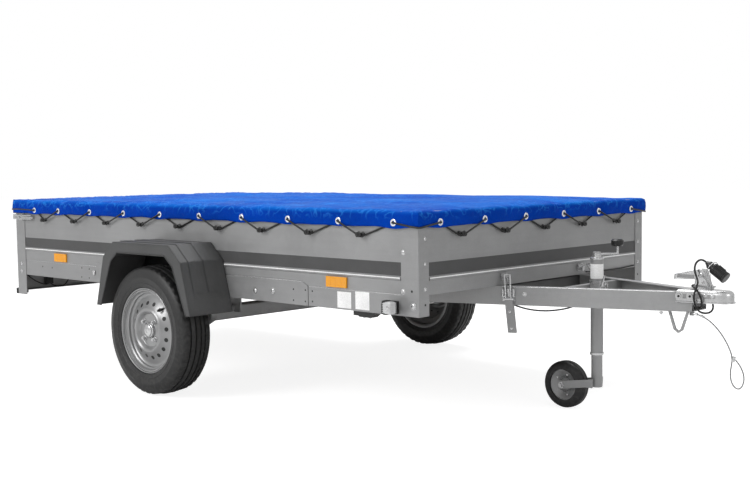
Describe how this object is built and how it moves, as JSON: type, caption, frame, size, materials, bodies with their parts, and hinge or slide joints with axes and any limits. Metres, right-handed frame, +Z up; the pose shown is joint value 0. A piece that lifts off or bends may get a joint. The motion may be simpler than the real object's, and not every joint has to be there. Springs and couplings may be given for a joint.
{
  "type": "single-axle tilting utility trailer with tarpaulin",
  "caption": "Galvanised single-axle utility trailer, about 3.6 m long, with a tilting box under a laced royal blue tarpaulin, V drawbar and jockey wheel.",
  "frame": {"origin": "on the ground below the middle of the trailer's overall length and width, parked on its two wheels and jockey wheel", "axes": "+X forward along the drawbar to the coupling, +Y left, +Z up"},
  "size_m": [3.6512, 1.92, 0.7958],
  "materials": {
    "galvanised_sheet": "hot-dip galvanised sheet, satin grey with a faint spangle",
    "galvanised_frame": "hot-dip galvanised steel sections, satin grey",
    "zinc_fittings": "bright zinc-plated steel",
    "floor_plywood": "phenolic-faced plywood, dark brown",
    "tyre_rubber": "black tyre rubber",
    "wheel_steel": "silver painted steel",
    "guard_plastic": "charcoal moulded plastic, matt",
    "black_plastic": "black moulded plastic",
    "black_rubber": "black rubber",
    "amber_lens": "amber reflector plastic",
    "clear_lens": "clear lamp lens over white",
    "red_lens": "red lamp lens",
    "blue_tarpaulin": "royal blue coated tarpaulin",
    "rope_white": "white sheathed rope"
  },
  "bodies": {
    "chassis": {"axle_beam": "galvanised_frame", "breakaway_rope": "rope_white", "coupling_handle": "zinc_fittings", "coupling_head": "zinc_fittings", "crank_arm": "zinc_fittings", "crank_knob": "black_plastic", "drawbar_beam_left": "galvanised_frame", "drawbar_beam_right": "galvanised_frame", "drawbar_crossmembers": "galvanised_frame", "jockey_housing": "zinc_fittings", "plug": "black_plastic", "plug_cable": "black_rubber", "swing_arm_left": "galvanised_frame", "swing_arm_right": "galvanised_frame", "tilt_latch_left": "zinc_fittings", "tilt_latch_right": "zinc_fittings", "tilt_plates": "galvanised_frame"},
    "bed": {"chock_holders": "black_plastic", "floor_bearers": "galvanised_sheet", "floor_board": "floor_plywood", "front_panel": "galvanised_sheet", "hinge_ears": "galvanised_frame", "lacing_cord": "black_rubber", "lacing_hooks": "black_plastic", "light_board": "galvanised_sheet", "marker_arms": "black_rubber", "marker_lenses": "clear_lens", "mudguard_left": "guard_plastic", "mudguard_right": "guard_plastic", "post_front_left": "galvanised_sheet", "post_front_right": "galvanised_sheet", "post_rear_left": "galvanised_sheet", "post_rear_right": "galvanised_sheet", "rear_buffers": "black_rubber", "side_panel_left": "galvanised_sheet", "side_panel_right": "galvanised_sheet", "side_plate_left": "galvanised_sheet", "side_plate_right": "galvanised_sheet", "side_rail_left": "galvanised_sheet", "side_rail_right": "galvanised_sheet", "side_reflectors": "amber_lens", "tail_lamps": "red_lens", "tail_latches": "zinc_fittings", "tarp": "blue_tarpaulin", "tarp_tail": "blue_tarpaulin", "tilt_catches": "zinc_fittings", "tilt_ears": "galvanised_frame"},
    "tailgate": {"hinge_straps": "galvanised_frame", "tailgate": "galvanised_sheet"},
    "wheel_left": {"tyre_left": "tyre_rubber", "rim_left": "wheel_steel", "hub_left": "zinc_fittings"},
    "wheel_right": {"tyre_right": "tyre_rubber", "rim_right": "wheel_steel", "hub_right": "zinc_fittings"},
    "jockey_lift": {"spindle_nut": "zinc_fittings"},
    "jockey_swivel": {"jockey_leg": "zinc_fittings"},
    "jockey_wheel": {"jockey_tyre": "tyre_rubber", "jockey_rim": "wheel_steel"}
  },
  "joints": [
    {"name": "bed_tilt", "type": "hinge", "parent": "chassis", "child": "bed", "pos_m": [-0.542, 0, 0.505], "axis": [0, -1, 0], "range_deg": [0, 12]},
    {"name": "tailgate_fold", "type": "hinge", "parent": "bed", "child": "tailgate", "pos_m": [-1.781, 0, 0.506], "axis": [0, -1, 0], "range_deg": [0, 125], "deforming": ["tarp_tail"]},
    {"name": "wheel_spin_left", "type": "hinge", "parent": "chassis", "child": "wheel_left", "pos_m": [-0.362, 0.872, 0.274], "axis": [0, 1, 0], "continuous": true},
    {"name": "wheel_spin_right", "type": "hinge", "parent": "chassis", "child": "wheel_right", "pos_m": [-0.362, -0.872, 0.274], "axis": [0, 1, 0], "continuous": true},
    {"name": "jockey_height", "type": "slide", "parent": "chassis", "child": "jockey_lift", "axis": [0, 0, 1], "range_m": [-0.1, 0.09]},
    {"name": "jockey_turn", "type": "hinge", "parent": "jockey_lift", "child": "jockey_swivel", "pos_m": [1.247, 0, 0.1], "axis": [0, 0, 1], "continuous": true},
    {"name": "jockey_spin", "type": "hinge", "parent": "jockey_swivel", "child": "jockey_wheel", "pos_m": [1.108, 0, 0.092], "axis": [0, 1, 0], "continuous": true}
  ]
}
